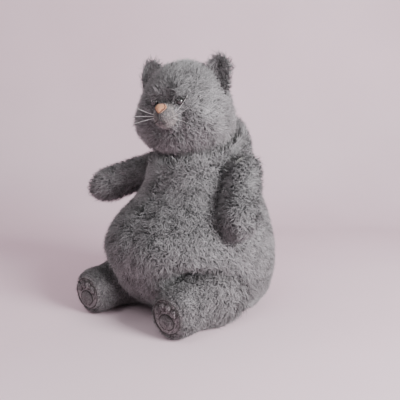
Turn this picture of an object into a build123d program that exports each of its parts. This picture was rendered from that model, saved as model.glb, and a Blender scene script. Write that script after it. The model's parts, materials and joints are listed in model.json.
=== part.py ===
"""Plush cat that sits upright: sewn fur-cloth panels over stuffing.

Frame: +Z up, the cat faces -Y, +X is the cat's own left, and the origin is on the
floor at the middle of the flat base. Every stuffed piece is a cloth shell with its
stuffing as a separate solid. The head, arms, legs and tail are stuffed balls at
their roots, each in a matching cup, so that they turn on the spot.
"""

import os
from math import cos, radians, sin, sqrt

from build123d import *

os.makedirs("parts", exist_ok=True)

# ---------------------------------------------------------------- driving dimensions
cloth = 6.0  # thickness of fur cloth with its pile pressed down
limb_cloth = 5.0
ear_cloth = 4.5
gap = 1.0  # running gap between pieces that move on each other
slack = 0.8  # gap round the stuffing necks

# Torso rings: height, centre y, half width, half depth
torso_rings = [
    (0, 16, 83, 85), (18, 8, 96, 99), (38, -2, 107, 111), (60, -8, 113, 119),
    (90, -12, 114, 122), (118, -9, 108, 113), (142, 2, 95, 98), (162, 9, 82, 86),
    (185, 13, 73, 80), (212, 18, 68, 73), (236, 26, 60, 62), (256, 33, 45, 46),
    (270, 38, 22, 23),
]
base_height = 9.0  # where the base panel ends
side_seam_y = 14.0  # front and back panels meet here

# Head rings, before the head is turned
head_rings = [
    (217, -20, 34, 32), (225, -20, 52, 48), (238, -20, 62, 55), (255, -20, 66, 58),
    (275, -20, 64, 58), (293, -20, 59, 56), (308, -20, 51, 50), (322, -20, 40, 39),
    (332, -20, 26, 25), (338, -20, 10, 9.5),
]
head_pivot = (0, -20, 270)
head_turned = 13.0  # the head looks towards the cat's left, degrees
dish_radius = 72.0  # hollow of the torso that the head nestles in
gusset_half = 24.5
ear_seam_y = -12.0  # cheeks and back of the head meet here
neck_ball, neck_stem = 20.0, 12.0
neck_bottom = 176.0
neck_mouth = (16.2, 27.5)  # opening under the head, narrow end and wide end

# Face
muzzle_centre, muzzle_radius, muzzle_depth = (0, -76, 262), 20.0, 17.0
nose_z, nose_width, nose_height, nose_lift = 272.0, 14.0, 12.5, 2.5
stitch_radius = 0.8
mouth_threads = [((0, -92.6, 264.8), (0, -92.9, 258.2)),
                 ((1.2, -92.7, 256.8), (8.0, -91.0, 252.8)),
                 ((-1.2, -92.7, 256.8), (-8.0, -91.0, 252.8))]
eye_x, eye_y, eye_z, eye_radius = 18.0, -72.0, 281.0, 5.5
shank_radius, shank_length = 2.0, 13.0
washer_radius, washer_thickness, washer_y = 7.5, 1.5, -64.5
whisker_radius, whisker_length = 0.7, 44.0
whisker_slopes = {1: 0.22, 2: 0.02, 3: -0.18}  # upper, middle and lower whisker

# Ears
ear_base, ear_lean = (47, -20, 306), 9.0
ear_half, ear_height, ear_root = 18.0, 37.0, 15.0

# Arms: pivot, root ball and outline (distance along the arm, radius)
shoulder = (80, 4, 192)
arm_root = 23.0
arm_outline = [(28, 24), (60, 24.5), (88, 22.5), (102, 13), (108, 0)]
arm_ways = {"left": (0.34, -0.62, -0.70), "right": (-0.70, -0.62, -0.34)}
# Turns of each arm that the torso leaves room for: about X, about Y, degrees
arm_room = {"left": [(-13, 0), (-27, 0), (-53, 0), (-80, 0)], "right": [(10, 0)]}
shoulder_ball, shoulder_stem, shoulder_reach = 11.0, 7.0, 42.0
# Opening in each arm's root: its tilt and wide end leave room for the arm to spread
shoulder_mouths = {"left": (22.5, 20.0), "right": (-12.5, 25.0)}
shoulder_narrow = 11.6

# Legs: the root ball and the foot both rest on the floor
hip = (72, -48, 36)
leg_root, leg_length = 36.0, 94.0
leg_outline = [(26, 33), (52, 30), (74, 30), (88, 27.5), (94, 24)]
leg_way = (0, -0.998, -0.064)
leg_lifts = (0, 7, 14)  # cuts that leave room for the leg to lift, degrees
sole_thickness = 3.0
pad_thickness = 1.2

# Tail
tail_pivot = (-4, 104, 18)
tail_root = 14.0
tail_outline = [(20, 12.5), (45, 12), (66, 12.5), (78, 8), (82, 0)]
tail_way = (-0.45, 0.89, -0.04)

# Beads in the base that keep the cat upright
bag_bottom, bag_radius, bag_height, bag_round = (0, 20, 14), 45.0, 38.0, 15.0

facing = Location(head_pivot) * Location((0, 0, 0), (0, 0, head_turned))
facing = facing * Location(tuple(-c for c in head_pivot))


# ---------------------------------------------------------------- shared shapes
def save(part, name, place=None):
    """Put a finished piece where it belongs, label it and write its STEP."""
    if place is not None:
        part = part.moved(place)
    part.label = name
    export_step(part, f"parts/{name}.step")


def mirrored(point, side):
    return (side * point[0], point[1], point[2])


def inset(rings, wall):
    """The same rings, moved in by one wall all round, ends included."""
    low, high = rings[0][0], rings[-1][0]
    squeeze = (high - low - 2 * wall) / (high - low)
    return [
        (low + wall + (z - low) * squeeze, y, half_x - wall, half_y - wall)
        for z, y, half_x, half_y in rings
    ]


def ring_body(rings):
    """Soft body lofted through level ellipses."""
    with BuildPart() as body:
        for z, centre_y, half_x, half_y in rings:
            with BuildSketch(Plane((0, centre_y, z))):
                Ellipse(half_x, half_y)
        loft()
    return body.part


def limb_body(pivot, way, root, outline, grow=0.0):
    """Ball round the pivot that runs into a revolved limb; a flat end if it has a radius."""
    along = Vector(*way).normalized()
    upright = along.cross(Vector(0, 0, 1)).normalized()
    points = [(s, max(r + grow, 0)) for s, r in outline]
    end, end_radius = outline[-1]
    points[-1] = (end + grow, end_radius + grow if end_radius else 0)
    with BuildPart() as body:
        with BuildSketch(Plane(origin=pivot, x_dir=along, z_dir=upright)):
            with BuildLine():
                CenterArc((0, 0), root + grow, 180, -90)
                last = (0.6, -1) if end_radius else (0, -1)
                Spline((0, root + grow), *points, tangents=((1, 0), last))
                Polyline(points[-1], (end + grow, 0), (-root - grow, 0)) if end_radius \
                    else Line(points[-1], (-root - grow, 0))
            make_face()
        revolve(axis=Axis(pivot, along))
    return body.part


def ball(centre, radius):
    with BuildPart() as body:
        with Locations(centre):
            Sphere(radius, rotation=(0, 0, 90))
    return body.part


def rod(start, way, radius, length):
    with BuildPart() as body:
        with BuildSketch(Plane(origin=start, z_dir=Vector(*way))):
            Circle(radius)
        extrude(amount=length)
    return body.part


def oval(centre, way, half_length, half_width):
    """Oval turned about its own axis."""
    along = Vector(*way)
    side = Vector(1, 0, 0) if abs(along.X) < 0.5 else Vector(0, 0, 1)
    with BuildPart() as body:
        with BuildSketch(Plane(origin=centre, x_dir=along, z_dir=side)):
            with BuildLine():
                EllipticalCenterArc((0, 0), half_length, half_width, 0, arc_size=180)
                Line((-half_length, 0), (half_length, 0))
            make_face()
        revolve(axis=Axis(centre, along))
    return body.part


def muzzle_body(grow=0.0):
    return oval(muzzle_centre, (0, -1, 0), muzzle_depth + grow, muzzle_radius + grow)


def plug(centre, way, ball_radius, stem_radius, reach):
    """Ball with a round stem on one side, turned in one piece."""
    along = Vector(*way).normalized()
    side = Vector(0, 1, 0) if abs(along.Y) < 0.5 else Vector(0, 0, 1)
    meet = sqrt(ball_radius**2 - stem_radius**2)
    with BuildPart() as body:
        with BuildSketch(Plane(origin=centre, x_dir=along, z_dir=side)):
            with BuildLine():
                ThreePointArc((-ball_radius, 0), (0, ball_radius), (meet, stem_radius))
                Polyline((meet, stem_radius), (reach, stem_radius), (reach, 0),
                         (-ball_radius, 0))
            make_face()
        revolve(axis=Axis(centre, along))
    return body.part


def funnel(centre, way, ball_radius, narrow, wide, reach):
    """Round socket with a mouth that widens, the room a plug needs to tilt in."""
    along = Vector(*way).normalized()
    side = Vector(0, 1, 0) if abs(along.Y) < 0.5 else Vector(0, 0, 1)
    meet = sqrt(ball_radius**2 - narrow**2)
    with BuildPart() as body:
        with BuildSketch(Plane(origin=centre, x_dir=along, z_dir=side)):
            with BuildLine():
                ThreePointArc((-ball_radius, 0), (0, ball_radius), (meet, narrow))
                Polyline((meet, narrow), (reach, wide), (reach, 0), (-ball_radius, 0))
            make_face()
        revolve(axis=Axis(centre, along))
    return body.part


def cut_panel(source, seams, name, place=None):
    """One cloth panel: the part of a shell on the chosen side of each seam plane."""
    with BuildPart() as panel:
        add(source)
        for seam, side in seams:
            split(bisect_by=seam, keep=side)
    save(panel.part, name, place)


def turned(way, about_x, about_y=0.0):
    """A direction turned about the Y axis and then about the X axis, in degrees."""
    c, s = cos(radians(about_y)), sin(radians(about_y))
    x, y, z = way[0] * c + way[2] * s, way[1], -way[0] * s + way[2] * c
    c, s = cos(radians(about_x)), sin(radians(about_x))
    return (x, y * c - z * s, y * s + z * c)


sides = {"left": 1, "right": -1}
centre_seam = Plane.YZ
side_seam = Plane(origin=(0, side_seam_y, 0), z_dir=(0, 1, 0))
base_seam = Plane.XY.offset(base_height)

# ---------------------------------------------------------------- torso
# Cups in the torso for the head, arms, legs and tail: the same shapes cut the cloth by
# the running gap and the stuffing by the gap and one cloth thickness.
with BuildPart() as torso_outer:
    add(ring_body(torso_rings))
    add(ball(head_pivot, dish_radius), mode=Mode.SUBTRACT)
    add(limb_body(tail_pivot, tail_way, tail_root, tail_outline, gap), mode=Mode.SUBTRACT)
    for name, side in sides.items():
        arm_pivot, leg_pivot = mirrored(shoulder, side), mirrored(hip, side)
        add(limb_body(arm_pivot, arm_ways[name], arm_root, arm_outline, gap),
            mode=Mode.SUBTRACT)
        for i, turns in enumerate(arm_room[name]):
            add(limb_body(arm_pivot, turned(arm_ways[name], *turns),
                          arm_root - 0.4 * (i + 1), arm_outline, gap + 0.5),
                mode=Mode.SUBTRACT)
        for i, lift in enumerate(leg_lifts):
            add(limb_body(leg_pivot, turned(leg_way, -lift), leg_root - 0.4 * i,
                          leg_outline, gap), mode=Mode.SUBTRACT)

with BuildPart() as torso_inner:
    add(ring_body(inset(torso_rings, cloth)))
    add(ball(head_pivot, dish_radius + cloth), mode=Mode.SUBTRACT)
    add(ball(tail_pivot, tail_root + gap + cloth), mode=Mode.SUBTRACT)
    for name, side in sides.items():
        arm_pivot, leg_pivot = mirrored(shoulder, side), mirrored(hip, side)
        add(limb_body(arm_pivot, arm_ways[name], arm_root, arm_outline, gap + cloth),
            mode=Mode.SUBTRACT)
        for i, lift in enumerate(leg_lifts):
            add(limb_body(leg_pivot, turned(leg_way, -lift), leg_root - 0.4 * i,
                          leg_outline, gap + cloth), mode=Mode.SUBTRACT)

# Ways through the cloth for the stuffing necks of the head and arms
with BuildPart() as neck_ways:
    add(rod((head_pivot[0], head_pivot[1], neck_bottom - gap), (0, 0, 1),
            neck_stem + slack, 60))
    for side in sides.values():
        add(rod(mirrored(shoulder, side), (-side, 0, 0), shoulder_stem + slack,
                shoulder_reach + gap))

with BuildPart() as torso_cloth:
    add(torso_outer)
    add(torso_inner, mode=Mode.SUBTRACT)
    add(neck_ways, mode=Mode.SUBTRACT)

with BuildPart() as base_panel:
    add(torso_cloth)
    split(bisect_by=base_seam, keep=Keep.BOTTOM)
save(base_panel.part, "base_panel")

for name, half in {"left": Keep.TOP, "right": Keep.BOTTOM}.items():
    above = [(base_seam, Keep.TOP), (centre_seam, half)]
    cut_panel(torso_cloth, above + [(side_seam, Keep.BOTTOM)], f"belly_panel_{name}")
    cut_panel(torso_cloth, above + [(side_seam, Keep.TOP)], f"back_panel_{name}")

with BuildPart() as pellet_bag:
    with BuildSketch(Plane(bag_bottom)):
        Circle(bag_radius)
    extrude(amount=bag_height)
    fillet(pellet_bag.edges().filter_by(GeomType.CIRCLE), radius=bag_round)
save(pellet_bag.part, "pellet_bag")

with BuildPart() as torso_fill:
    add(torso_inner)
    add(neck_ways, mode=Mode.SUBTRACT)
    add(pellet_bag, mode=Mode.SUBTRACT)
save(torso_fill.part, "torso_fill")

# ---------------------------------------------------------------- neck
with BuildPart() as neck_fill:
    add(plug(head_pivot, (0, 0, -1), neck_ball, neck_stem, head_pivot[2] - neck_bottom))
save(neck_fill.part, "neck_fill")

# ---------------------------------------------------------------- head
# Ears: one outline, cut from the back cloth and from the lining in front of it.
ears = {}
for name, side in sides.items():
    lean = radians(ear_lean) * side
    for layer, facing_y, shrink in (("ear_back", 1, 0.0), ("ear_lining", -1, 1.5)):
        with BuildPart() as ear:
            with BuildSketch(Plane(origin=mirrored(ear_base, side), x_dir=(cos(lean), 0,
                             -sin(lean)), z_dir=(0, facing_y, 0))):
                up = -facing_y  # the sketch's own y axis points down when it faces back
                half, top = ear_half - shrink, ear_height - shrink
                with BuildLine():
                    Spline((half, 0), (half * 0.86, up * top * 0.55), (0, up * top),
                           (-half * 0.86, up * top * 0.55), (-half, 0),
                           tangents=((0, up), (0, -up)))
                    Polyline((-half, 0), (-half + 8, -up * ear_root),
                             (half - 8, -up * ear_root), (half, 0))
                make_face()
            extrude(amount=ear_cloth)
        ears[f"{name}_{layer}"] = ear.part
for name, ear_part in ears.items():
    save(ear_part, name, facing)

# Eyes with their shanks, and the washers that lock them inside the head
eyes, washers = {}, {}
for name, side in sides.items():
    with BuildPart() as eye:
        add(plug((side * eye_x, eye_y, eye_z), (0, 1, 0), eye_radius, shank_radius,
                 shank_length))
    eyes[name] = eye.part
    save(eye.part, f"{name}_eye", facing)
    with BuildPart() as washer:
        add(rod((side * eye_x, washer_y, eye_z), (0, 1, 0), washer_radius,
                washer_thickness))
        add(eyes[name], mode=Mode.SUBTRACT)
    washers[name] = washer.part
    save(washer.part, f"{name}_eye_washer", facing)

# Whiskers: bristles whose roots are held in the muzzle
whiskers = {}
for name, side in sides.items():
    for number, slope in whisker_slopes.items():
        root = (side * 13.5, -83, muzzle_centre[2] + 12 * slope)
        whiskers[f"{name}_whisker_{number}"] = rod(root, (side, -0.30, slope),
                                                   whisker_radius, whisker_length)
for name, whisker in whiskers.items():
    save(whisker, name, facing)

head_outer = ring_body(head_rings)
head_core = ring_body(inset(head_rings, cloth))
muzzle_outer = muzzle_body()

# Nose: a flat outline carried onto the round muzzle
with BuildPart() as nose:
    with BuildSketch(Plane(origin=(0, muzzle_centre[1], nose_z), x_dir=(1, 0, 0),
                           z_dir=(0, -1, 0))):
        with BuildLine():
            Polyline((-nose_width / 2, nose_height / 2), (nose_width / 2, nose_height / 2),
                     (nose_width * 0.16, -nose_height / 2),
                     (-nose_width * 0.16, -nose_height / 2), close=True)
        make_face()
        fillet(vertices(), radius=2.0)
    extrude(amount=40)
    add(muzzle_body(nose_lift), mode=Mode.INTERSECT)
    add(muzzle_outer, mode=Mode.SUBTRACT)
save(nose.part, "nose", facing)

# The mouth is three threads sunk half way into the muzzle
with BuildPart() as mouth_stitch:
    for start, end in mouth_threads:
        line = Vector(*end) - Vector(*start)
        add(rod(start, line, stitch_radius, line.length))
save(mouth_stitch.part, "mouth_stitch", facing)

# Everything that passes through the head's cloth and stuffing
head_ways = funnel(head_pivot, (0, 0, -1), neck_ball + slack, *neck_mouth, 60)
head_solids = list(ears.values()) + list(eyes.values()) + list(whiskers.values())
head_solids.append(mouth_stitch.part)

with BuildPart() as head_cloth:
    add(head_outer)
    add(head_core, mode=Mode.SUBTRACT)
    add(head_ways, mode=Mode.SUBTRACT)
    add(muzzle_outer, mode=Mode.SUBTRACT)
    add(head_solids, mode=Mode.SUBTRACT)

gusset_left, gusset_right = Plane.YZ.offset(gusset_half), Plane.YZ.offset(-gusset_half)
ear_seam = Plane(origin=(0, ear_seam_y, 0), z_dir=(0, 1, 0))
gusset = [(gusset_left, Keep.BOTTOM), (gusset_right, Keep.TOP)]
muzzle_level = Plane.XY.offset(muzzle_centre[2])
cut_panel(head_cloth, gusset + [(ear_seam, Keep.BOTTOM), (muzzle_level, Keep.TOP)],
          "forehead_gusset", facing)
cut_panel(head_cloth, gusset + [(ear_seam, Keep.BOTTOM), (muzzle_level, Keep.BOTTOM)],
          "chin_panel", facing)
cut_panel(head_cloth, gusset + [(ear_seam, Keep.TOP)], "nape_gusset", facing)
for name, edge in {"left": (gusset_left, Keep.TOP),
                   "right": (gusset_right, Keep.BOTTOM)}.items():
    cut_panel(head_cloth, [edge, (ear_seam, Keep.BOTTOM)], f"{name}_cheek_panel", facing)
    cut_panel(head_cloth, [edge, (ear_seam, Keep.TOP)], f"{name}_head_back_panel", facing)

with BuildPart() as muzzle_panel:
    add(muzzle_outer)
    add(muzzle_body(-4.0), mode=Mode.SUBTRACT)
    add(head_core, mode=Mode.SUBTRACT)
    add(head_solids, mode=Mode.SUBTRACT)
save(muzzle_panel.part, "muzzle_panel", facing)

with BuildPart() as head_fill:
    add(head_core)
    add(muzzle_body(-4.0))
    add(head_ways, mode=Mode.SUBTRACT)
    add(head_solids + list(washers.values()), mode=Mode.SUBTRACT)
save(head_fill.part, "head_fill", facing)

# ---------------------------------------------------------------- arms
for name, side in sides.items():
    pivot, way = mirrored(shoulder, side), arm_ways[name]
    with BuildPart() as shoulder_fill:
        add(plug(pivot, (-side, 0, 0), shoulder_ball, shoulder_stem, shoulder_reach))
    save(shoulder_fill.part, f"{name}_shoulder_fill")

    tilt, wide = shoulder_mouths[name]
    turn = radians(tilt)
    arm_ways_in = funnel(pivot, (-side * cos(turn), 0, side * sin(turn)),
                         shoulder_ball + slack, shoulder_narrow, wide, arm_root + gap)

    arm_core = limb_body(pivot, way, arm_root, arm_outline, -limb_cloth)
    with BuildPart() as arm_cloth:
        add(limb_body(pivot, way, arm_root, arm_outline))
        add(arm_core, mode=Mode.SUBTRACT)
        add(arm_ways_in, mode=Mode.SUBTRACT)
    along = Vector(*way).normalized()
    arm_seam = Plane(origin=pivot, x_dir=along, z_dir=along.cross(Vector(0, 1, 0)))
    cut_panel(arm_cloth, [(arm_seam, Keep.TOP)], f"{name}_arm_panel_a")
    cut_panel(arm_cloth, [(arm_seam, Keep.BOTTOM)], f"{name}_arm_panel_b")

    with BuildPart() as arm_fill:
        add(arm_core)
        add(arm_ways_in, mode=Mode.SUBTRACT)
    save(arm_fill.part, f"{name}_arm_fill")

# ---------------------------------------------------------------- legs
for name, side in sides.items():
    pivot = mirrored(hip, side)
    along = Vector(*leg_way).normalized()
    leg_core = limb_body(pivot, leg_way, leg_root, leg_outline, -limb_cloth)
    with BuildPart() as leg_cloth:
        add(limb_body(pivot, leg_way, leg_root, leg_outline))
        add(leg_core, mode=Mode.SUBTRACT)
    sole_seam = Plane(origin=Vector(*pivot) + along * (leg_length - sole_thickness),
                      x_dir=(1, 0, 0), z_dir=along)
    leg_seam = Plane(origin=pivot, x_dir=along, z_dir=Vector(1, 0, 0).cross(along))
    cut_panel(leg_cloth, [(sole_seam, Keep.BOTTOM), (leg_seam, Keep.TOP)],
              f"{name}_leg_panel_a")
    cut_panel(leg_cloth, [(sole_seam, Keep.BOTTOM), (leg_seam, Keep.BOTTOM)],
              f"{name}_leg_panel_b")
    cut_panel(leg_cloth, [(sole_seam, Keep.TOP)], f"{name}_sole")

    foot_face = Plane(origin=Vector(*pivot) + along * leg_length, x_dir=(1, 0, 0),
                      z_dir=along)
    with BuildPart() as heel_pad:
        with BuildSketch(foot_face):
            with Locations((0, -6)):
                Ellipse(11, 9)
        extrude(amount=pad_thickness)
    save(heel_pad.part, f"{name}_heel_pad")
    with BuildPart() as toe_pads:
        with BuildSketch(foot_face):
            with Locations((-12.5, 7), (-4.5, 12), (4.5, 12), (12.5, 7)):
                Ellipse(3.4, 4.2)
        extrude(amount=pad_thickness)
    save(toe_pads.part, f"{name}_toe_pads")

    leg_fill = leg_core
    save(leg_fill, f"{name}_leg_fill")

# ---------------------------------------------------------------- tail
tail_core = limb_body(tail_pivot, tail_way, tail_root, tail_outline, -limb_cloth)
with BuildPart() as tail_panel:
    add(limb_body(tail_pivot, tail_way, tail_root, tail_outline))
    add(tail_core, mode=Mode.SUBTRACT)
save(tail_panel.part, "tail_panel")
save(tail_core, "tail_fill")
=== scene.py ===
"""Looks of the sitting plush cat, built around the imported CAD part."""

import json
import math

import bmesh
import bpy
import numpy as np
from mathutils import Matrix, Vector, noise
from mathutils.bvhtree import BVHTree


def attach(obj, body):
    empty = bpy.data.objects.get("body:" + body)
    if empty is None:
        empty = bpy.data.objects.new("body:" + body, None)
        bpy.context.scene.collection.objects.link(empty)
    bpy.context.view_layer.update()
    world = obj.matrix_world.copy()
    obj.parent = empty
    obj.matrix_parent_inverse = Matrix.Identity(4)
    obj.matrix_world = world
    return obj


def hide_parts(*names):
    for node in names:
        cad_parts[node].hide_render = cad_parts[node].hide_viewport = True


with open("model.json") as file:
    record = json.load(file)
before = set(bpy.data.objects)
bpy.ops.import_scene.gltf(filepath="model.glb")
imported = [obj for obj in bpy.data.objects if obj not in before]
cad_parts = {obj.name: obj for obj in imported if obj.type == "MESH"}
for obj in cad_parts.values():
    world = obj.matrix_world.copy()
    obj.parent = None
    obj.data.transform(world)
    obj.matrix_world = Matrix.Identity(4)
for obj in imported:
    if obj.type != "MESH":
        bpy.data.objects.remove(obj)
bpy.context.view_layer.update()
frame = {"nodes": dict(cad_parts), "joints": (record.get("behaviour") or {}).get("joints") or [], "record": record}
nodes = frame["nodes"]
rng = np.random.default_rng(11)
MM = 0.001

# ------------------------------------------------------------------ sizes, in metres
SKIN_INSET = 5.5 * MM  # the woven back of the cloth, under the pile
HEAD_PIVOT = np.array((0, -20, 270)) * MM
HEAD_TURN = math.radians(13)
MUZZLE = np.array((0, -76, 262)) * MM
MUZZLE_R, MUZZLE_D = 20 * MM, 17 * MM
FLOOR_CLEAR = 0.3 * MM


# ------------------------------------------------------------------ materials
def principled(name, colour, roughness, sheen=0.0, **sockets):
    mat = bpy.data.materials.new(name)
    mat.use_nodes = True
    bsdf = mat.node_tree.nodes["Principled BSDF"]
    bsdf.inputs["Base Color"].default_value = (*colour, 1)
    bsdf.inputs["Roughness"].default_value = roughness
    bsdf.inputs["Sheen Weight"].default_value = sheen
    for socket, value in sockets.items():
        bsdf.inputs[socket.replace("_", " ")].default_value = value
    return mat


def patterned(name, dark, light, scale, roughness, bump=0.3, detail=6.0, waves=None,
              sheen=0.0, coat=0.0):
    """Two-tone noise or thread pattern with a matching bump."""
    mat = principled(name, light, roughness, sheen, Coat_Weight=coat)
    tree = mat.node_tree
    bsdf = tree.nodes["Principled BSDF"]
    coords = tree.nodes.new("ShaderNodeTexCoord")
    if waves:
        pattern = tree.nodes.new("ShaderNodeTexWave")
        pattern.bands_direction = waves
        pattern.inputs["Distortion"].default_value = 1.5
        out = pattern.outputs["Fac"]
    else:
        pattern = tree.nodes.new("ShaderNodeTexNoise")
        pattern.inputs["Detail"].default_value = detail
        out = pattern.outputs["Fac"]
    pattern.inputs["Scale"].default_value = scale
    ramp = tree.nodes.new("ShaderNodeValToRGB")
    ramp.color_ramp.elements[0].position = 0.3
    ramp.color_ramp.elements[0].color = (*dark, 1)
    ramp.color_ramp.elements[1].position = 0.7
    ramp.color_ramp.elements[1].color = (*light, 1)
    dents = tree.nodes.new("ShaderNodeBump")
    dents.inputs["Strength"].default_value = bump
    dents.inputs["Distance"].default_value = 0.5 * MM
    links = tree.links
    links.new(coords.outputs["Object"], pattern.inputs["Vector"])
    links.new(out, ramp.inputs["Fac"])
    links.new(ramp.outputs["Color"], bsdf.inputs["Base Color"])
    links.new(out, dents.inputs["Height"])
    links.new(dents.outputs["Normal"], bsdf.inputs["Normal"])
    return mat


def fur_tones(name, tint, levels):
    """Plain shades of one pile colour, dark to light, mixed lock by lock; roots take darker ones as painted shade.
    """
    return [
        principled(f"{name}_{i}", tuple(level * t for t in tint), 0.85, sheen=0.25,
                   Sheen_Roughness=0.4)
        for i, level in enumerate(levels)
    ]


GREY = (1.0, 0.965, 0.99)
MAUVE = (1.0, 0.90, 0.93)
fur = fur_tones("fur", GREY, (0.065, 0.11, 0.16, 0.21, 0.265, 0.335))
muzzle_fur = fur_tones("muzzle_fur", (1.0, 0.90, 0.88), (0.10, 0.15, 0.20, 0.26, 0.32, 0.38))
ear_fur = fur_tones("ear_fur", GREY, (0.05, 0.09, 0.14, 0.20, 0.27, 0.36))
sole_fur = fur_tones("sole_fur", MAUVE, (0.13, 0.20, 0.28, 0.36, 0.44, 0.53))
leg_fur = fur_tones("leg_fur", (1.0, 0.94, 0.97), (0.065, 0.11, 0.16, 0.21, 0.26, 0.32))
pad_fur = fur_tones("pad_fur", MAUVE, (0.09, 0.13, 0.18, 0.23, 0.28, 0.34))
cloth_mat = patterned("cloth_back", (0.08, 0.077, 0.08), (0.14, 0.135, 0.14), 900, 0.95,
                      sheen=0.2)
sole_mat = patterned("sole_cloth", (0.06, 0.05, 0.055), (0.13, 0.11, 0.12), 900, 0.95)
stuffing_mat = patterned("stuffing", (0.55, 0.54, 0.50), (0.85, 0.84, 0.80), 220, 0.95)
pellet_mat = patterned("pellet_cloth", (0.60, 0.58, 0.52), (0.78, 0.76, 0.70), 1500, 0.9,
                       waves="Z")
eye_mat = patterned("eye_plastic", (0.004, 0.004, 0.004), (0.010, 0.009, 0.009), 300, 0.06,
                    bump=0.01, coat=1.0)
washer_mat = patterned("washer_plastic", (0.70, 0.70, 0.68), (0.82, 0.82, 0.80), 500, 0.5,
                       bump=0.05)
nose_mat = patterned("nose_thread", (0.34, 0.15, 0.07), (0.56, 0.28, 0.15), 2600, 0.55,
                     waves="X", sheen=0.3)
nose_edge_mat = patterned("nose_edge_thread", (0.05, 0.025, 0.02), (0.13, 0.06, 0.045), 2600,
                          0.6, waves="X")
thread_mat = patterned("dark_thread", (0.012, 0.010, 0.010), (0.05, 0.04, 0.04), 2600, 0.6,
                       waves="X")
whisker_mat = patterned("whisker_nylon", (0.78, 0.78, 0.77), (0.92, 0.92, 0.90), 400, 0.25,
                        bump=0.02)


# ------------------------------------------------------------------ mesh helpers
def unit(v):
    return v / np.maximum(np.linalg.norm(v, axis=-1, keepdims=True), 1e-12)


def mesh_object(name, verts, faces, mats, tones=None, normals=None, smooth=True):
    """verts (n, 3); faces is a list of arrays of equal-length polygons."""
    mesh = bpy.data.meshes.new(name)
    loops = np.concatenate([f.ravel() for f in faces]).astype(np.int32)
    sizes = np.concatenate([np.full(len(f), f.shape[1]) for f in faces])
    starts = np.concatenate([[0], np.cumsum(sizes)[:-1]]).astype(np.int32)
    mesh.vertices.add(len(verts))
    mesh.vertices.foreach_set("co", np.ascontiguousarray(verts, np.float32).ravel())
    mesh.loops.add(len(loops))
    mesh.loops.foreach_set("vertex_index", loops)
    mesh.polygons.add(len(sizes))
    mesh.polygons.foreach_set("loop_start", starts)
    mesh.polygons.foreach_set("use_smooth", np.full(len(sizes), smooth))
    for mat in mats:
        mesh.materials.append(mat)
    if tones is not None:
        mesh.polygons.foreach_set("material_index", tones.astype(np.int32))
    mesh.update(calc_edges=True)
    mesh.validate()
    if normals is not None and len(mesh.vertices) == len(normals):
        mesh.normals_split_custom_set_from_vertices(unit(normals).tolist())
    obj = bpy.data.objects.new(name, mesh)
    bpy.context.scene.collection.objects.link(obj)
    return obj


def tree_of(names):
    """BVH of several CAD nodes, with the node that each of its triangles comes from."""
    verts, tris, owner = [], [], []
    for name in names:
        mesh = nodes[name].data
        mesh.calc_loop_triangles()
        co = np.zeros(len(mesh.vertices) * 3)
        mesh.vertices.foreach_get("co", co)
        tri = np.zeros(len(mesh.loop_triangles) * 3, int)
        mesh.loop_triangles.foreach_get("vertices", tri)
        tris.append(tri.reshape(-1, 3) + sum(len(v) for v in verts))
        verts.append(co.reshape(-1, 3))
        owner += [name] * len(tris[-1])
    tree = BVHTree.FromPolygons(np.concatenate(verts).tolist(),
                                np.concatenate(tris).tolist())
    return tree, owner


def vertex_normals(verts, faces):
    normals = np.zeros_like(verts)
    cross = np.cross(verts[faces[:, 1]] - verts[faces[:, 0]],
                     verts[faces[:, 2]] - verts[faces[:, 0]])
    for k in range(faces.shape[1]):
        np.add.at(normals, faces[:, k], cross)
    return unit(normals)


def smooth(values, faces, rounds, weight=0.5):
    """Laplacian smoothing of per-vertex values over a triangle mesh."""
    edges = np.concatenate([faces[:, [0, 1]], faces[:, [1, 2]], faces[:, [2, 0]]])
    edges = np.unique(np.sort(edges, 1), axis=0)
    count = np.bincount(edges.ravel(), minlength=len(values)).astype(float)
    shape = (-1,) + (1,) * (values.ndim - 1)
    for _ in range(rounds):
        total = np.zeros_like(values)
        np.add.at(total, edges[:, 0], values[edges[:, 1]])
        np.add.at(total, edges[:, 1], values[edges[:, 0]])
        values = values * (1 - weight) + weight * total / count.reshape(shape)
    return values


def noise_at(points, size, seed=0.0):
    """Smooth noise from about -1 to 1 at each point, with features of the given size."""
    shift = Vector((seed, seed * 1.7, -seed))
    return np.array([noise.noise(Vector(p) / size + shift) for p in points])


def noise_vectors(points, size, seed=0.0):
    shift = Vector((seed, seed * 1.7, -seed))
    return np.array([noise.noise_vector(Vector(p) / size + shift) for p in points])


# ------------------------------------------------------------------ skins
def star_skin(names, centre, level):
    """Closed skin: an icosphere shot inwards onto the CAD panels."""
    bm = bmesh.new()
    bmesh.ops.create_icosphere(bm, subdivisions=level, radius=1)
    ways = np.array([v.co[:] for v in bm.verts])
    faces = np.array([[v.index for v in f.verts] for f in bm.faces])
    bm.free()
    tree, owner = tree_of(names)
    centre = Vector(centre)
    verts, marks = [], []
    for way in ways:
        way = Vector(way)
        hit, _, index, _ = tree.ray_cast(centre + way, -way)
        verts.append(hit if hit is not None else centre + way * 0.05)
        marks.append(owner[index] if index is not None else names[0])
    return np.array(verts), faces, np.array(marks)


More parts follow.
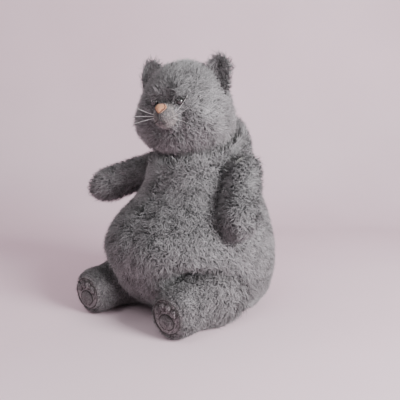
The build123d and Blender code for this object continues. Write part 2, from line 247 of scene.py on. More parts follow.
def limb_skin(names, pivot, end, rings=64, around=48):
    """Closed skin of a limb: rings about the line from its pivot to its tip."""
    tree, owner = tree_of(names)
    axis = unit(end - pivot)
    side = unit(np.cross(axis, (0, 0, 1)))
    up = np.cross(side, axis)
    length = np.linalg.norm(end - pivot)
    profile = []
    ways = [side * math.cos(a) + up * math.sin(a) for a in np.linspace(0, 5.5, 12)]
    for s in np.linspace(-0.06, length, 300):
        spot = pivot + axis * s
        reach = [0]
        for way in ways:
            hit, _, _, _ = tree.ray_cast(Vector(spot + way * 0.2), Vector(-way))
            if hit is not None:
                reach.append(np.dot(np.array(hit) - spot, way))
        if max(reach) > 0:
            profile.append((s, max(reach)))
    profile = np.array(profile)
    profile = np.vstack([(profile[0, 0], 0), profile, (profile[-1, 0], 0)])
    run = np.concatenate([[0], np.cumsum(np.hypot(*np.diff(profile, axis=0).T))])
    t = np.linspace(0, run[-1], rings)
    s, r = np.interp(t, run, profile[:, 0]), np.interp(t, run, profile[:, 1])
    angle = np.arange(around) * 2 * math.pi / around
    circle = np.cos(angle)[:, None] * side + np.sin(angle)[:, None] * up
    grid = pivot + axis * s[1:-1, None, None] + circle * r[1:-1, None, None]
    verts = np.vstack([grid.reshape(-1, 3), pivot + axis * s[0], pivot + axis * s[-1]])
    faces = []
    for i in range(rings - 3):
        for j in range(around):
            a, b = i * around + j, i * around + (j + 1) % around
            faces += [(a, a + around, b), (b, a + around, b + around)]
    low, high = len(verts) - 2, len(verts) - 1
    last = (rings - 3) * around
    for j in range(around):
        faces += [(low, j, (j + 1) % around),
                  (high, last + (j + 1) % around, last + j)]
    faces = np.array(faces)
    if np.einsum("ij,ij->i", np.cross(verts[faces[:, 1]] - verts[faces[:, 0]],
                 verts[faces[:, 2]] - verts[faces[:, 0]]),
                 verts[faces[:, 0]] - (pivot + axis * length / 2)).sum() < 0:
        faces = faces[:, ::-1]
    marks = []
    for v in verts:
        _, _, index, _ = tree.find_nearest(Vector(v))
        marks.append(owner[index])
    return verts, faces, np.array(marks)


def face_marks(faces, marks):
    """Each face belongs to the node that most of its corners belong to."""
    a, b, c = marks[faces[:, 0]], marks[faces[:, 1]], marks[faces[:, 2]]
    return np.where(b == c, b, a)


def seam_depth(verts, faces, marks, width, depth):
    """Groove along the lines where two panels meet."""
    edge = np.zeros(len(verts))
    split = (marks[faces] != marks[faces][:, :1]).any(1)
    edge[np.unique(faces[split])] = 1.0
    spread = smooth(edge, faces, width)
    return depth * np.minimum(spread / max(spread.max() * 0.6, 1e-6), 1.0)


def finish_skin(verts, faces, marks, inset, lump=0.8 * MM, seam=1.2 * MM, rounds=3,
                shape=None):
    """Sinks a skin under the pile, with soft lumps and its sewn seams."""
    verts = smooth(verts, faces, rounds)
    normals = vertex_normals(verts, faces)
    if shape is not None:
        verts = verts + normals * shape(verts)[:, None]
        normals = vertex_normals(verts, faces)
    out = -inset + lump * noise_at(verts, 16 * MM, 3.1)
    out = out - seam_depth(verts, faces, marks, 2, seam)
    verts = verts + normals * out[:, None]
    verts[:, 2] = np.maximum(verts[:, 2], FLOOR_CLEAR)
    return verts, vertex_normals(verts, faces)


# ------------------------------------------------------------------ pile
def scatter(verts, normals, faces, density):
    """Random roots over a skin: place, normal and face of each."""
    corners = verts[faces]
    area = 0.5 * np.linalg.norm(np.cross(corners[:, 1] - corners[:, 0],
                                         corners[:, 2] - corners[:, 0]), axis=1)
    want = area * density / 1
    count = np.floor(want).astype(int) + (rng.random(len(area)) < want % 1)
    index = np.repeat(np.arange(len(faces)), count)
    a, b = rng.random(len(index)), rng.random(len(index))
    flip = a + b > 1
    a[flip], b[flip] = 1 - a[flip], 1 - b[flip]
    weights = np.stack([1 - a - b, a, b], 1)[:, :, None]
    return ((verts[faces[index]] * weights).sum(1),
            unit((normals[faces[index]] * weights).sum(1)), index)


def room_above(roots, normals, tree, reach=16 * MM):
    """Free height over each root before it meets another body, up to reach."""
    free = np.full(len(roots), reach)
    for i, (root, way) in enumerate(zip(roots, normals)):
        hit, _, _, distance = tree.ray_cast(Vector(root + way * 0.5 * MM), Vector(way), reach)
        if hit is not None:
            free[i] = distance
    return free


def grow(name, roots, normals, flow, style, mats):
    """Builds locks or strands of pile as one mesh. style holds their sizes in metres."""
    n = len(roots)
    if n == 0:
        return None
    length = style["length"] * (1 + style["vary"] * rng.uniform(-1, 1, n)) * style["scale"]
    lean = unit(flow - (flow * normals).sum(1, keepdims=True) * normals)
    side = np.cross(normals, lean)
    swirl = noise_vectors(roots, style["swirl_size"], 9.2)
    swirl -= (swirl * normals).sum(1, keepdims=True) * normals
    bend = lean * style["lean"] + swirl * style["swirl"]
    bend += side * rng.normal(0, style["stray"], n)[:, None]
    bend += lean * rng.normal(0, style["stray"], n)[:, None]
    across = unit(np.cross(normals, bend))
    curl = style["curl"] * rng.uniform(-1, 1, n)
    steps, sides = style["steps"], style["sides"]
    rings, frames = [], []
    for u in steps + [1.0]:
        rise = length * style["rise"] * (1 - (1 - u) ** 1.8)
        drift = length * 0.75 * u ** 1.4
        spin = curl * length * math.sin(math.pi * 1.35 * u)
        rings.append(roots + normals * rise[:, None] + bend * drift[:, None]
                     + across * spin[:, None])
    verts, shade = [], []
    spans = [rings[k + 1] - rings[k] for k in range(len(steps))]
    for k, width in enumerate(style["widths"]):
        along = unit(spans[k])
        flat = unit(np.cross(along, across))
        w = style["width"] * width * (0.75 + 0.5 * rng.random(n)) if k == 0 else w_base * width
        if k == 0:
            w_base = w / width
        if sides == 2:
            offsets = [across, -across]
        else:
            turns = [2 * math.pi * j / sides for j in range(sides)]
            offsets = [across * math.cos(a) + flat * 0.7 * math.sin(a) for a in turns]
        for offset in offsets:
            verts.append(rings[k] + offset * w[:, None])
            shade.append(normals * 0.75 + offset * (0.55 if sides > 2 else 0.15) + along * 0.2)
    verts.append(rings[-1])
    shade.append(normals * 0.8 + unit(spans[-1]) * 0.3)
    per = len(verts)
    verts = np.stack(verts, 1).reshape(-1, 3)
    shade = np.stack(shade, 1).reshape(-1, 3)
    verts[:, 2] = np.maximum(verts[:, 2], FLOOR_CLEAR)
    base = (np.arange(n) * per)[:, None]
    tone = (style["tone"] + 1.5 * noise_at(roots, 14 * MM, 5.5) + rng.normal(0, 0.85, n)
            + style.get("shade", 0.0))
    top = len(mats) - 1
    quads, tris, quad_tones = [], [], []
    closed = sides if sides > 2 else 1
    # Each lock takes darker tones low down and a lighter one at its tip: painted shade deep in the pile.
    for k in range(len(steps) - 1):
        for j in range(closed):
            a, b = k * sides + j, k * sides + (j + 1) % sides
            quads.append(base + np.array([[a, b, b + sides, a + sides]]))
            quad_tones.append(np.clip(np.round(tone - 1.3 + 1.1 * k), 0, top))
    k = len(steps) - 1
    tri_tones = []
    for j in range(closed):
        a, b = k * sides + j, k * sides + (j + 1) % sides
        tris.append(base + np.array([[a, b, per - 1]]))
        tri_tones.append(np.clip(np.round(tone + 0.5), 0, top))
    faces = ([np.concatenate(quads)] if quads else []) + [np.concatenate(tris)]
    tones = np.concatenate(quad_tones + tri_tones)
    return mesh_object(name, verts, faces, mats, tones, shade)


LOCK = dict(length=9.5 * MM, vary=0.25, rise=0.72, lean=0.6, swirl=0.85, swirl_size=14 * MM,
            stray=0.4, curl=0.22, steps=[0.0, 0.38, 0.72], widths=[1.0, 1.0, 0.66],
            width=0.8 * MM, sides=3, tone=2.4, scale=1.0, density=0.16e6)
STRAND = dict(LOCK, length=10.5 * MM, vary=0.3, rise=0.8, stray=0.5, steps=[0.0, 0.55],
              widths=[1.0, 0.8], width=0.3 * MM, sides=2, tone=3.2, density=0.42e6)
SHORT_LOCK = dict(LOCK, length=4.2 * MM, width=0.7 * MM, density=0.3e6, swirl_size=8 * MM)
SHORT_STRAND = dict(STRAND, length=4.6 * MM, width=0.25 * MM, density=0.6e6)
LEG_LOCK = dict(SHORT_LOCK, length=5.0 * MM, width=0.75 * MM, density=0.28e6, swirl=0.6)
LEG_STRAND = dict(SHORT_STRAND, length=5.6 * MM, density=0.55e6, swirl=0.6)
VELOUR = dict(SHORT_LOCK, length=2.3 * MM, width=0.5 * MM, density=0.9e6, swirl=0.5)
EAR_LOCK = dict(LOCK, length=6.5 * MM, width=0.7 * MM, density=0.2e6, swirl=0.7)
EAR_STRAND = dict(STRAND, length=8 * MM, width=0.28 * MM, density=0.5e6, swirl=0.7)

STYLES = {  # pile styles and shades of each kind of cloth
    "fur": ((LOCK, STRAND), fur),
    "muzzle": ((SHORT_LOCK, SHORT_STRAND), muzzle_fur),
    "ear": ((EAR_LOCK, EAR_STRAND), fur),
    "lining": ((dict(EAR_LOCK, tone=2.0), EAR_STRAND), ear_fur),
    "leg": ((LEG_LOCK, LEG_STRAND), leg_fur),
    "sole": ((VELOUR,), sole_fur),
}


def dress(body, skin, flow, kinds=None, inset=SKIN_INSET, thin=None, shade=None, **finish):
    """Turns one skin into its cloth panels and their pile, panel by panel."""
    kinds = kinds or {}
    verts, faces, marks = skin
    verts, normals = finish_skin(verts, faces, marks, inset, **finish)
    owner = face_marks(faces, marks)
    inner = [n for n in nodes if n in frame["record"]["behaviour"]["bodies"][body]]
    others, _ = tree_of([n for n in nodes if n not in inner and "whisker" not in n])
    for panel in sorted(set(owner)):
        kind = kinds.get(panel, "fur")
        mine = faces[owner == panel]
        used, local = np.unique(mine, return_inverse=True)
        cloth = mesh_object(f"{panel}_cloth", verts[used], [local.reshape(-1, 3)],
                            [sole_mat if kind == "sole" else cloth_mat],
                            normals=normals[used])
        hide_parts(panel)
        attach(cloth, body)
        styles, tones = STYLES[kind]
        for layer, style in enumerate(styles):
            roots, ways, _ = scatter(verts, normals, mine, style["density"])
            free = room_above(roots, ways, others)
            keep = free > 2 * MM
            if thin is not None:
                scale = thin(roots)
                keep &= scale > 0.12
            else:
                scale = np.ones(len(roots))
            scale = (scale * np.where(free < 14 * MM, 1.3, 1.0))[keep]
            roots, ways = roots[keep], ways[keep]
            pile = grow(f"{panel}_pile_{layer + 1}", roots, ways, flow(roots),
                        dict(style, scale=scale, shade=shade(roots) if shade else 0.0),
                        tones)
            if pile is not None:
                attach(pile, body)


def joint_at(name):
    return np.array(next(j["pos_m"] for j in frame["joints"] if j["name"] == name))


# ------------------------------------------------------------------ torso
torso_panels = ["base_panel"] + [f"{p}_panel_{s}" for p in ("belly", "back")
                                 for s in ("left", "right")]


def neck_reach(points):
    """1 at the rim of the hollow that the head sits in, 0 from 30 mm away."""
    far = np.linalg.norm(points - HEAD_PIVOT, axis=1) / MM - 72
    return np.clip(1 - np.abs(far) / 30, 0, 1) * (points[:, 2] > 170 * MM)


def torso_flow(points):
    """Down the body, and up against the head round the neck."""
    turn = math.pi * np.minimum(1.6 * neck_reach(points), 1)[:, None]
    round_about = unit(np.cross(points - HEAD_PIVOT, (0, 0, 1)))
    return -np.cos(turn) * (0, 0, 1) + np.sin(turn) * round_about


verts, faces, marks = star_skin(torso_panels + ["torso_fill"], (0, 0.004, 0.105), 6)
marks = np.where(marks != "torso_fill", marks,
                 np.where(verts[:, 0] > 0, "back_panel_left", "back_panel_right"))
dress("torso", (verts, faces, marks), torso_flow,
      seam=2.4 * MM, thin=lambda p: 1 + 0.5 * neck_reach(p))

# ------------------------------------------------------------------ head
c, s = math.cos(HEAD_TURN), math.sin(HEAD_TURN)
TURN = np.array(((c, -s, 0), (s, c, 0), (0, 0, 1)))


def to_face(points):
    """Row frame to the head's own frame, in which it looks straight ahead."""
    return (points - HEAD_PIVOT) @ TURN + HEAD_PIVOT


def from_face(points):
    return (np.asarray(points, float) - HEAD_PIVOT) @ TURN.T + HEAD_PIVOT


# Soft shapes of the face: centre in the head's frame, spread and height, all in mm
FACE_SHAPES = [
    ((0, -66, 303), 17, 5.5),  # forehead between its two creases
    ((0, -90, 262), 17, 4.0),  # muzzle, which has a shorter pile
    ((14, -75, 293), 7, 5.5), ((-14, -75, 293), 7, 5.5),  # brows
    ((18, -76, 280), 9, 2.0), ((-18, -76, 280), 9, 2.0),  # round the eyes
    ((50, -56, 256), 17, 7.0), ((-50, -56, 256), 17, 7.0),  # cheeks
    ((63, -38, 258), 6, -5.0), ((-63, -38, 258), 6, -5.0),  # dimples behind them
]
for side in (1, -1):  # creases beside the forehead and round the muzzle
    for x, y, z in ((24, -71, 290), (25, -68, 296), (26, -63, 303), (26, -57, 311)):
        FACE_SHAPES.append(((side * x, y, z), 4.5, -3.5))
    for degrees in range(-80, 50, 15):
        a = math.radians(degrees)
        FACE_SHAPES.append(((side * 23.5 * math.cos(a), -79, 262 + 23.5 * math.sin(a)),
                            4.5, -2.5))


def face_shape(points):
    local = to_face(points)
    total = np.zeros(len(points))
    for spot, spread, height in FACE_SHAPES:
        far = np.linalg.norm(local - np.array(spot) * MM, axis=1) / (spread * MM)
        total += height * MM * np.exp(-far ** 2)
    return total


EYES = np.array(((18, -73, 281), (-18, -73, 281))) * MM
NOSE = np.array((0, -92, 271)) * MM
MOUTH = np.array([(0, -94, z) for z in (258, 260, 262, 264)]
                 + [(x, -92, 256 - abs(x) * 0.45) for x in (-8, -5, -2, 2, 5, 8)]) * MM


def face_thin(points):
    """Shorter pile round the eyes, none under the nose and the mouth's stitches."""
    local = to_face(points)
    scale = np.ones(len(points))
    for eye in EYES:
        far = np.linalg.norm(local - eye, axis=1) / MM
        above = local[:, 2] > eye[2] + 3 * MM
        near = np.where(far < 4.2, 0.0, np.clip((far - 1.0) / 9, 0.35, 1))
        scale = np.minimum(scale, np.where(above & (far > 3.6), 1.1, near))
    round_muzzle = np.linalg.norm((local - MUZZLE) * (1, 0, 1), axis=1) / MM
    for spot, spread, height in FACE_SHAPES:
        if height < 0:
            far = np.linalg.norm(local / MM - spot, axis=1) / spread
            scale = np.minimum(scale, 1 - 0.45 * np.exp(-far ** 2))
    front = (local[:, 1] < -60 * MM) & (round_muzzle < 40)
    scale = np.where(front, np.minimum(scale, np.clip((round_muzzle - 8) / 24, 0.55, 1)),
                     scale)
    far = np.linalg.norm((local - NOSE) * (1, 0.5, 1.2), axis=1) / MM
    scale = np.minimum(scale, np.where(far < 6.5, 0.0, np.clip((far - 4) / 6, 0.3, 1)))
    scale *= 1 + 0.6 * np.clip((240 * MM - local[:, 2]) / (18 * MM), 0, 1)
    for spot in MOUTH:
        far = np.linalg.norm((local - spot) * (1, 0.3, 1), axis=1) / MM
        scale = np.minimum(scale, np.where(far < 1.7, 0.0, 1.0))
    return scale


def face_shade(points):
    """Darker forehead as painted shade where it turns from the light; darker round the eyes, paler cheeks; painted
    shade along the creases.
    """
    local = to_face(points) / MM
    total = np.zeros(len(points))
    # The forehead's darker tone is painted shade of the side turned from the light.
    for spot, spread, height in (((0, -66, 300), 26, -1.1), ((18, -75, 281), 9, -2.0),
                                 ((-18, -75, 281), 9, -2.0), ((50, -50, 262), 24, 0.7),
                                 ((-50, -50, 262), 24, 0.7)):
        total += height * np.exp(-(np.linalg.norm(local - spot, axis=1) / spread) ** 2)
    # Painted shade: the pile is darkened along the creases of the face.
    crease = np.zeros(len(points))
    for spot, spread, height in FACE_SHAPES:
        if height < 0:
            far = np.linalg.norm(local - spot, axis=1) / (1.1 * spread)
            crease = np.maximum(crease, np.exp(-far ** 2))
    return total - 2.6 * crease


def off_the_nose(points):
    local = to_face(points)
    ways = unit(local - NOSE) + (0, 0.6, -0.25)
    under = np.clip((240 * MM - local[:, 2]) / (18 * MM), 0, 1)[:, None]
    ways = ways * (1 - under) + under * (unit((local - HEAD_PIVOT) * (1, 1, 0)) * 0.5
                                         - (0, 0, 1.2))
    return ways @ TURN.T


head_panels = ["forehead_gusset", "chin_panel", "nape_gusset", "muzzle_panel"]
head_panels += [f"{s}_{p}_panel" for s in ("left", "right") for p in ("cheek", "head_back")]
verts, faces, marks = star_skin(head_panels + ["head_fill", "left_eye", "right_eye"],
                                HEAD_PIVOT, 6)
marks[np.char.endswith(marks.astype(str), "_eye")] = "forehead_gusset"
marks[marks == "head_fill"] = "nape_gusset"
dress("head", (verts, faces, marks), off_the_nose,
      kinds={"muzzle_panel": "muzzle"}, shape=face_shape, thin=face_thin,
      shade=face_shade)

# ------------------------------------------------------------------ arms, legs, tail
ARM_WAYS = {"left": (0.34, -0.62, -0.70), "right": (-0.70, -0.62, -0.34)}
LEG_WAY = (0, -0.998, -0.064)
TAIL_WAY = (-0.45, 0.89, -0.04)
for side in ("left", "right"):
    pivot = joint_at(f"{side}_arm_swing")
    panels = [f"{side}_arm_panel_a", f"{side}_arm_panel_b"]
    way = unit(np.array(ARM_WAYS[side]))
    dress(f"{side}_arm", limb_skin(panels, pivot, pivot + way * 108 * MM),
          lambda p, w=way: np.tile(w, (len(p), 1)))

    pivot = joint_at(f"{side}_leg_lift")
    way = unit(np.array(LEG_WAY))
    sole_end = pivot + way * 94 * MM
    panels = [f"{side}_leg_panel_a", f"{side}_leg_panel_b", f"{side}_sole"]
    dress(f"{side}_leg", limb_skin(panels, pivot, sole_end),
          lambda p, w=way: np.tile(w + np.array((0, 0, -0.5)), (len(p), 1)),
          kinds=dict.fromkeys(panels[:2], "leg") | {panels[2]: "sole"}, inset=3.0 * MM,
          seam=2.0 * MM,
          thin=lambda p, a=pivot, w=way: np.clip(2.6 - (p - a) @ w / (34 * MM), 1, 2.2))

pivot = joint_at("tail_swing")
tail_way = unit(np.array(TAIL_WAY))
dress("tail", limb_skin(["tail_panel"], pivot, pivot + tail_way * 82 * MM),
      lambda p: np.tile(tail_way, (len(p), 1)))

# ------------------------------------------------------------------ ears
EAR_BASE, EAR_LEAN = (47, -20, 306), math.radians(9)
EAR_HALF, EAR_TOP, EAR_ROOT, EAR_SHOULDER = 17.5, 36.0, 13.0, 8.0


def ear_skin(side, name):
    """Cupped ear in two sheets that meet along the rim: lining in front, fur behind."""
    across, rows = np.linspace(-1, 1, 21), np.linspace(0, 1, 22)
    height = -EAR_ROOT + (EAR_TOP + EAR_ROOT) * rows
    taper = np.clip((height - EAR_SHOULDER) / (EAR_TOP - EAR_SHOULDER), 0, 1)
    half = EAR_HALF * np.sqrt(np.maximum(1 - taper ** 2.3, 0.004))
    x, u = half[:, None] * across, np.tile(across, (len(rows), 1))
    z = np.tile(height[:, None], (1, len(across)))
    thick = 2.2 * np.sqrt(np.maximum(1 - u ** 2, 0)) * np.sqrt(np.maximum(1 - taper ** 3, 0))[:, None]
    cup = -7.0 * (x / EAR_HALF) ** 2 - 0.12 * np.maximum(z, 0) * (z / EAR_TOP)
    sheets, faces, marks = [], [], []
    n, m = x.shape
    for k, front in enumerate((-1, 1)):
        local = np.stack([x, cup + front * thick, z], -1).reshape(-1, 3)
        sheets.append(local)
        marks += [f"{name}_ear_lining" if front < 0 else f"{name}_ear_back"] * len(local)
        for i in range(n - 1):
            for j in range(m - 1):
                a = k * n * m + i * m + j
                quad = (a, a + 1, a + m + 1, a + m)
                if front > 0:
                    quad = quad[::-1]
                faces += [(quad[0], quad[1], quad[2]), (quad[0], quad[2], quad[3])]
    local = np.concatenate(sheets)
    lean = side * EAR_LEAN
    right = np.array((math.cos(lean), 0, -math.sin(lean)))
    up = np.array((math.sin(lean), 0, math.cos(lean)))
    base = np.array(EAR_BASE) * (side, 1, 1)
    spots = base + local[:, :1] * right + local[:, 1:2] * (0, 1, 0) + local[:, 2:] * up
    return from_face(spots * MM), np.array(faces), np.array(marks), up


def ear_height(points, side):
    up = np.array((math.sin(side * EAR_LEAN), 0, math.cos(EAR_LEAN)))
    return (to_face(points) - np.array(EAR_BASE) * (side, 1, 1) * MM) @ up


for name, side in (("left", 1), ("right", -1)):
    verts, faces, marks, up = ear_skin(side, name)
    way = up @ TURN.T
    dress("head", (verts, faces, marks), lambda p, w=way: np.tile(w, (len(p), 1)),
          kinds={f"{name}_ear_lining": "lining", f"{name}_ear_back": "ear"}, inset=0,
          lump=0.3 * MM, seam=0.0, rounds=1,
          thin=lambda p, k=side: np.clip((ear_height(p, k) + 12 * MM) / (10 * MM), 0, 1))


# ------------------------------------------------------------------ threads and bristles
def tube(name, paths, mats, sides=6):
    """Round tubes along paths of (point, radius), closed at both ends."""
    verts, quads, caps, tones = [], [], [], []
    for number, (points, radii) in enumerate(paths):
        points, radii = np.asarray(points, float), np.asarray(radii, float)
        along = unit(np.gradient(points, axis=0))
        pole = np.array((0.3, 0.2, 1.0)) if abs(along[0][2]) < 0.9 else np.array((1.0, 0, 0))
        start = len(verts)
        for point, radius, way in zip(points, radii, along):
            one = unit(np.cross(way, pole))
            two = np.cross(way, one)
            for j in range(sides):
                a = 2 * math.pi * j / sides
                verts.append(point + radius * (one * math.cos(a) + two * math.sin(a)))
        for i in range(len(points) - 1):
            for j in range(sides):
                a, b = start + i * sides + j, start + i * sides + (j + 1) % sides
                quads.append((a, a + sides, b + sides, b))
        verts += [points[0], points[-1]]
        last = start + (len(points) - 1) * sides
        for j in range(sides):
            caps += [(len(verts) - 2, start + j, start + (j + 1) % sides),
                     (len(verts) - 1, last + (j + 1) % sides, last + j)]
    return mesh_object(name, np.array(verts), [np.array(quads), np.array(caps)], mats)


def part_of(piece, body, slot, *stands_for):
    if stands_for:
        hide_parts(*stands_for)
    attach(piece, body)


WHISKER_LIFT = {"left_whisker_1": 16, "left_whisker_2": 9, "left_whisker_3": -2,
                "right_whisker_1": 5, "right_whisker_2": 0, "right_whisker_3": -2}
for name, lift in WHISKER_LIFT.items():
    co = np.array([v.co[:] for v in nodes[name].data.vertices])
    heart = from_face(MUZZLE[None])[0]
    far = np.linalg.norm(co - heart, axis=1)
    root = co[far < far.min() + 1.5 * MM].mean(0)
    tip = co[far > far.max() - 1.5 * MM].mean(0)
    t = np.linspace(0, 1, 14)[:, None]
    line = root + (tip - root) * 0.62 * t + np.array((0, 0, lift * MM)) * t ** 1.6
    piece = tube(name + "_bristle", [(line, np.linspace(0.32, 0.09, 14) * MM)], [whisker_mat])
    part_of(piece, "head", "whisker", name)

# Nose: a domed pad of satin stitch with a darker edge
NOSE_Z, NOSE_W, NOSE_H = 272.0, 14.0, 12.5


def muzzle_front(x, z):
    inside = np.maximum(1 - (x ** 2 + (z - 262) ** 2) / 400, 0)
    return -76 - 17 * np.sqrt(inside)


def nose_outline(t):
    """Rounded heart outline at the angle t, in mm about the nose's middle."""
    wide = 0.5 * NOSE_W * (1 - 0.30 * np.maximum(-np.sin(t), 0) ** 1.2)
    x = wide * np.cos(t) * (1 - 0.38 * np.maximum(-np.sin(t), 0))
    z = 0.5 * NOSE_H * (np.sin(t) - 0.16 * np.exp(-(np.cos(t) / 0.35) ** 2) * (np.sin(t) > 0))
    return x, z


def nose_spot(x, z, edge, lift=0.0):
    """Point on the domed nose; edge is 0 at the middle and 1 at the outline."""
    y = muzzle_front(x, z + NOSE_Z) - 0.6 - 2.8 * (1 - edge ** 2.2) - lift
    return np.stack([x, y, z + NOSE_Z + 0 * x], -1)


turns = np.linspace(0, 2 * math.pi, 49)[:-1]
ox, oz = nose_outline(turns)
pad, pad_faces = [], []
for ring, edge in enumerate(np.linspace(1, 0.08, 9)):
    pad.append(nose_spot(ox * edge, oz * edge, np.full(48, edge)))
pad.append(np.stack([ox, muzzle_front(ox, oz + NOSE_Z) + 3.0, oz + NOSE_Z], -1))
pad = np.concatenate(pad)
for ring in range(8):
    for j in range(48):
        a, b = ring * 48 + j, ring * 48 + (j + 1) % 48
        pad_faces.append((a, b, b + 48, a + 48))
for j in range(48):
    pad_faces.append((9 * 48 + j, 9 * 48 + (j + 1) % 48, (j + 1) % 48, j))
pad_faces = np.array(pad_faces)
tip = len(pad)
pad = np.vstack([pad, nose_spot(np.zeros(1), np.zeros(1), np.zeros(1))])
tris = np.array([(8 * 48 + j, 8 * 48 + (j + 1) % 48, tip) for j in range(48)])
nose = mesh_object("nose_pad", from_face(pad * MM), [pad_faces, tris], [nose_mat])
part_of(nose, "head", "nose", "nose")

stitches = []
for x in np.linspace(-0.46, 0.46, 17) * NOSE_W:
    t = np.linspace(0, 2 * math.pi, 721)
    lx, lz = nose_outline(t)
    near = np.abs(lx - x) < 0.08
    top, low = lz[near].max() - 0.2, lz[near].min() + 0.2
    z = np.linspace(top, low, 9)
    xs = np.full(9, x) * (1 - 0.25 * np.linspace(0, 1, 9) ** 2)
    reach = np.array([np.hypot(a, b) for a, b in zip(xs, z)])
    rim = np.array([np.interp(math.atan2(b, a) % (2 * math.pi), t, np.hypot(lx, lz))
                    for a, b in zip(xs, z)])
    line = nose_spot(xs, z, np.clip(reach / rim, 0, 1), 0.15)
    stitches.append((from_face(line * MM), np.full(9, 0.46 * MM)))
part_of(tube("nose_satin_stitches", stitches, [nose_mat]), "head", "nose")
edge_line = nose_spot(np.append(ox, ox[0]), np.append(oz, oz[0]), np.ones(49), 0.5)
part_of(tube("nose_edge_stitch", [(from_face(edge_line * MM), np.full(49, 0.75 * MM))],
             [nose_edge_mat]), "head", "nose")


# ------------------------------------------------------------------ pads of the soles
def puff(centre, right, up, out, half_x, half_y, height):
    """Small oval cushion: a dome over an oval, with its edge tucked down."""
    rings, around = 7, 24
    verts, faces = [], []
    for i, edge in enumerate(np.linspace(1, 0, rings + 1)[:-1]):
        for j in range(around):
            a = 2 * math.pi * j / around
            verts.append(centre + right * half_x * edge * math.cos(a)
                         + up * half_y * edge * math.sin(a)
                         + out * (height * (1 - edge ** 2.5)))
    verts.append(centre + out * height)
    for i in range(rings - 1):
        for j in range(around):
            a, b = i * around + j, i * around + (j + 1) % around
            faces += [(a, b, b + around), (a, b + around, a + around)]
    last = (rings - 1) * around
    faces += [(last + j, last + (j + 1) % around, len(verts) - 1) for j in range(around)]
    return np.array(verts), np.array(faces)


PADS = {"heel_pad": [((0, -6), (10.5, 8.5))],
        "toe_pads": [((x, y), (3.8, 4.8)) for x, y in
                     ((-12.5, 7), (-4.5, 12), (4.5, 12), (12.5, 7))]}
for name in ("left", "right"):
    pivot = joint_at(f"{name}_leg_lift")
    out = unit(np.array(LEG_WAY))
    right = np.array((1.0, 0, 0))
    up = np.cross(out, right)
    face = pivot + out * 94 * MM
    for pad_name, ovals in PADS.items():
        verts, faces = [], []
        for (x, y), (half_x, half_y) in ovals:
            v, f = puff(face + right * x * MM + up * y * MM - out * 1.6 * MM, right, up, out,
                        half_x * MM, half_y * MM, 2.6 * MM)
            faces.append(f + sum(len(a) for a in verts))
            verts.append(v)
        verts, faces = np.concatenate(verts), np.concatenate(faces)
        normals = vertex_normals(verts, faces)
        node = f"{name}_{pad_name}"
        cloth = mesh_object(f"{node}_cloth", verts, [faces], [sole_mat], normals=normals)
        part_of(cloth, f"{name}_leg", "pads", node)
        roots, ways, _ = scatter(verts, normals, faces, 0.9e6)
        pile = grow(f"{node}_pile", roots, ways, np.tile(-up, (len(roots), 1)),
                    dict(VELOUR, length=1.8 * MM), pad_fur)
        part_of(pile, f"{name}_leg", "pads")
        turns = np.linspace(0, 2 * math.pi, 33)
        rims = [(face - out * 0.9 * MM + right * (x + (half_x + 0.7) * np.cos(turns))[:, None]
                 * MM + up * (y + (half_y + 0.7) * np.sin(turns))[:, None] * MM,
                 np.full(33, 0.85 * MM)) for (x, y), (half_x, half_y) in ovals]
        if pad_name == "heel_pad":  # and the seam round the sole
            rims.append((face - out * 1.6 * MM + right * (20.5 * np.cos(turns))[:, None] * MM
                         + up * (20.5 * np.sin(turns))[:, None] * MM, np.full(33, 0.7 * MM)))
        part_of(tube(f"{node}_stitching", rims, [thread_mat]), f"{name}_leg", "pads")

# ------------------------------------------------------------------ stuffing
def stuffing(name, body, shrink):
    """Fibre filling, drawn in a little so that the cloth lies over it everywhere."""
    mesh = nodes[name].data
    mesh.calc_loop_triangles()
    co = np.array([v.co[:] for v in mesh.vertices])
    tri = np.array([t.vertices[:] for t in mesh.loop_triangles])
    _, first, back = np.unique(np.round(co * 2e4), axis=0, return_index=True,
                               return_inverse=True)
    verts, faces = co[first], back.reshape(-1)[tri]
    faces = faces[(faces[:, 0] != faces[:, 1]) & (faces[:, 1] != faces[:, 2])
                  & (faces[:, 0] != faces[:, 2])]
    if name == "head_fill":  # drawn in towards its middle, clear of the eyes' washers
        verts = HEAD_PIVOT + (verts - HEAD_PIVOT) * (1 - shrink / (64 * MM))
    else:
        verts = verts - vertex_normals(verts, faces) * shrink
    piece = mesh_object(f"{name}_fibre", verts, [faces], [stuffing_mat])
    part_of(piece, body, "stuffing", name)


for body, members in frame["record"]["behaviour"]["bodies"].items():
    for name in members:
        if name.endswith("_fill") and "shoulder" not in name and "neck" not in name:
            stuffing(name, body, 9 * MM if body == "head" else 4 * MM)

# ------------------------------------------------------------------ carried-over nodes
for name, obj in nodes.items():
    mat = None
    if name.endswith("_fill"):
        mat = stuffing_mat
    elif name == "pellet_bag":
        mat = pellet_mat
    elif name.endswith("_eye"):
        mat = eye_mat
    elif name.endswith("_washer"):
        mat = washer_mat
    elif name == "mouth_stitch":
        mat = thread_mat
    if mat is not None:
        obj.data.materials.clear()
        obj.data.materials.append(mat)
        obj.data.polygons.foreach_set("material_index", np.zeros(len(obj.data.polygons), int))

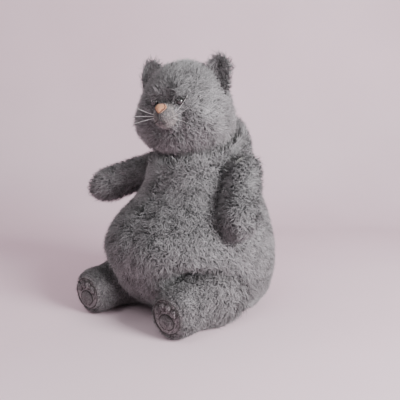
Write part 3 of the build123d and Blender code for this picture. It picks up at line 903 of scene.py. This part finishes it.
# ------------------------------------------------------------------ stage
def backdrop():
    """Pale cloth sweep: a floor that curves up into a wall behind the cat."""
    turn = np.linspace(0, math.pi / 2, 24)
    run = np.concatenate([[-4.0], 0.55 + 0.5 * np.sin(turn), [1.05]])
    rise = np.concatenate([[0.0], 0.5 * (1 - np.cos(turn)), [4.0]])
    wide = np.linspace(-4, 4, 33)
    away = np.array((-math.sin(AZIMUTH), math.cos(AZIMUTH)))
    across = np.array((math.cos(AZIMUTH), math.sin(AZIMUTH)))
    verts = [(*(away * d + across * w), z) for d, z in zip(run, rise) for w in wide]
    n = len(wide)
    faces = [(i * n + j, i * n + j + 1, (i + 1) * n + j + 1, (i + 1) * n + j)
             for i in range(len(run) - 1) for j in range(n - 1)]
    mat = patterned("backdrop_cloth", (0.78, 0.60, 0.67), (0.83, 0.65, 0.72), 3, 0.8,
                    bump=0.0)
    return mesh_object("backdrop", np.array(verts), [np.array(faces)], [mat])


AZIMUTH, ELEVATION = math.radians(39), math.radians(7)
backdrop()

world = bpy.data.worlds.new("studio")
bpy.context.scene.world = world
world.use_nodes = True
world.node_tree.nodes["Background"].inputs["Color"].default_value = (0.93, 0.90, 0.92, 1)
world.node_tree.nodes["Background"].inputs["Strength"].default_value = 0.42


def softbox(name, place, target, size, power):
    light = bpy.data.lights.new(name, "AREA")
    light.shape = "DISK"
    light.size = size
    light.energy = power
    obj = bpy.data.objects.new(name, light)
    obj.location = place
    obj.rotation_euler = (Vector(target) - Vector(place)).to_track_quat("-Z", "Y").to_euler()
    bpy.context.scene.collection.objects.link(obj)


softbox("key", (1.4, -0.1, 0.65), (0, 0, 0.15), 0.7, 50)
softbox("front", (0.3, -1.1, 1.3), (0, 0, 0.15), 0.9, 5)
softbox("left", (-1.2, -0.5, 0.8), (0, 0, 0.15), 1.0, 3)

# ------------------------------------------------------------------ camera
DISTANCE, TARGET = 0.700, Vector((0.008, 0, 0.148))
cam = bpy.data.cameras.new("camera")
cam.lens, cam.sensor_width = 44.3, 36
view = bpy.data.objects.new("camera", cam)
back = Vector((math.sin(AZIMUTH) * math.cos(ELEVATION),
               -math.cos(AZIMUTH) * math.cos(ELEVATION), math.sin(ELEVATION)))
view.location = TARGET + back * DISTANCE
view.rotation_euler = back.to_track_quat("Z", "Y").to_euler()
bpy.context.scene.collection.objects.link(view)
bpy.context.scene.camera = view
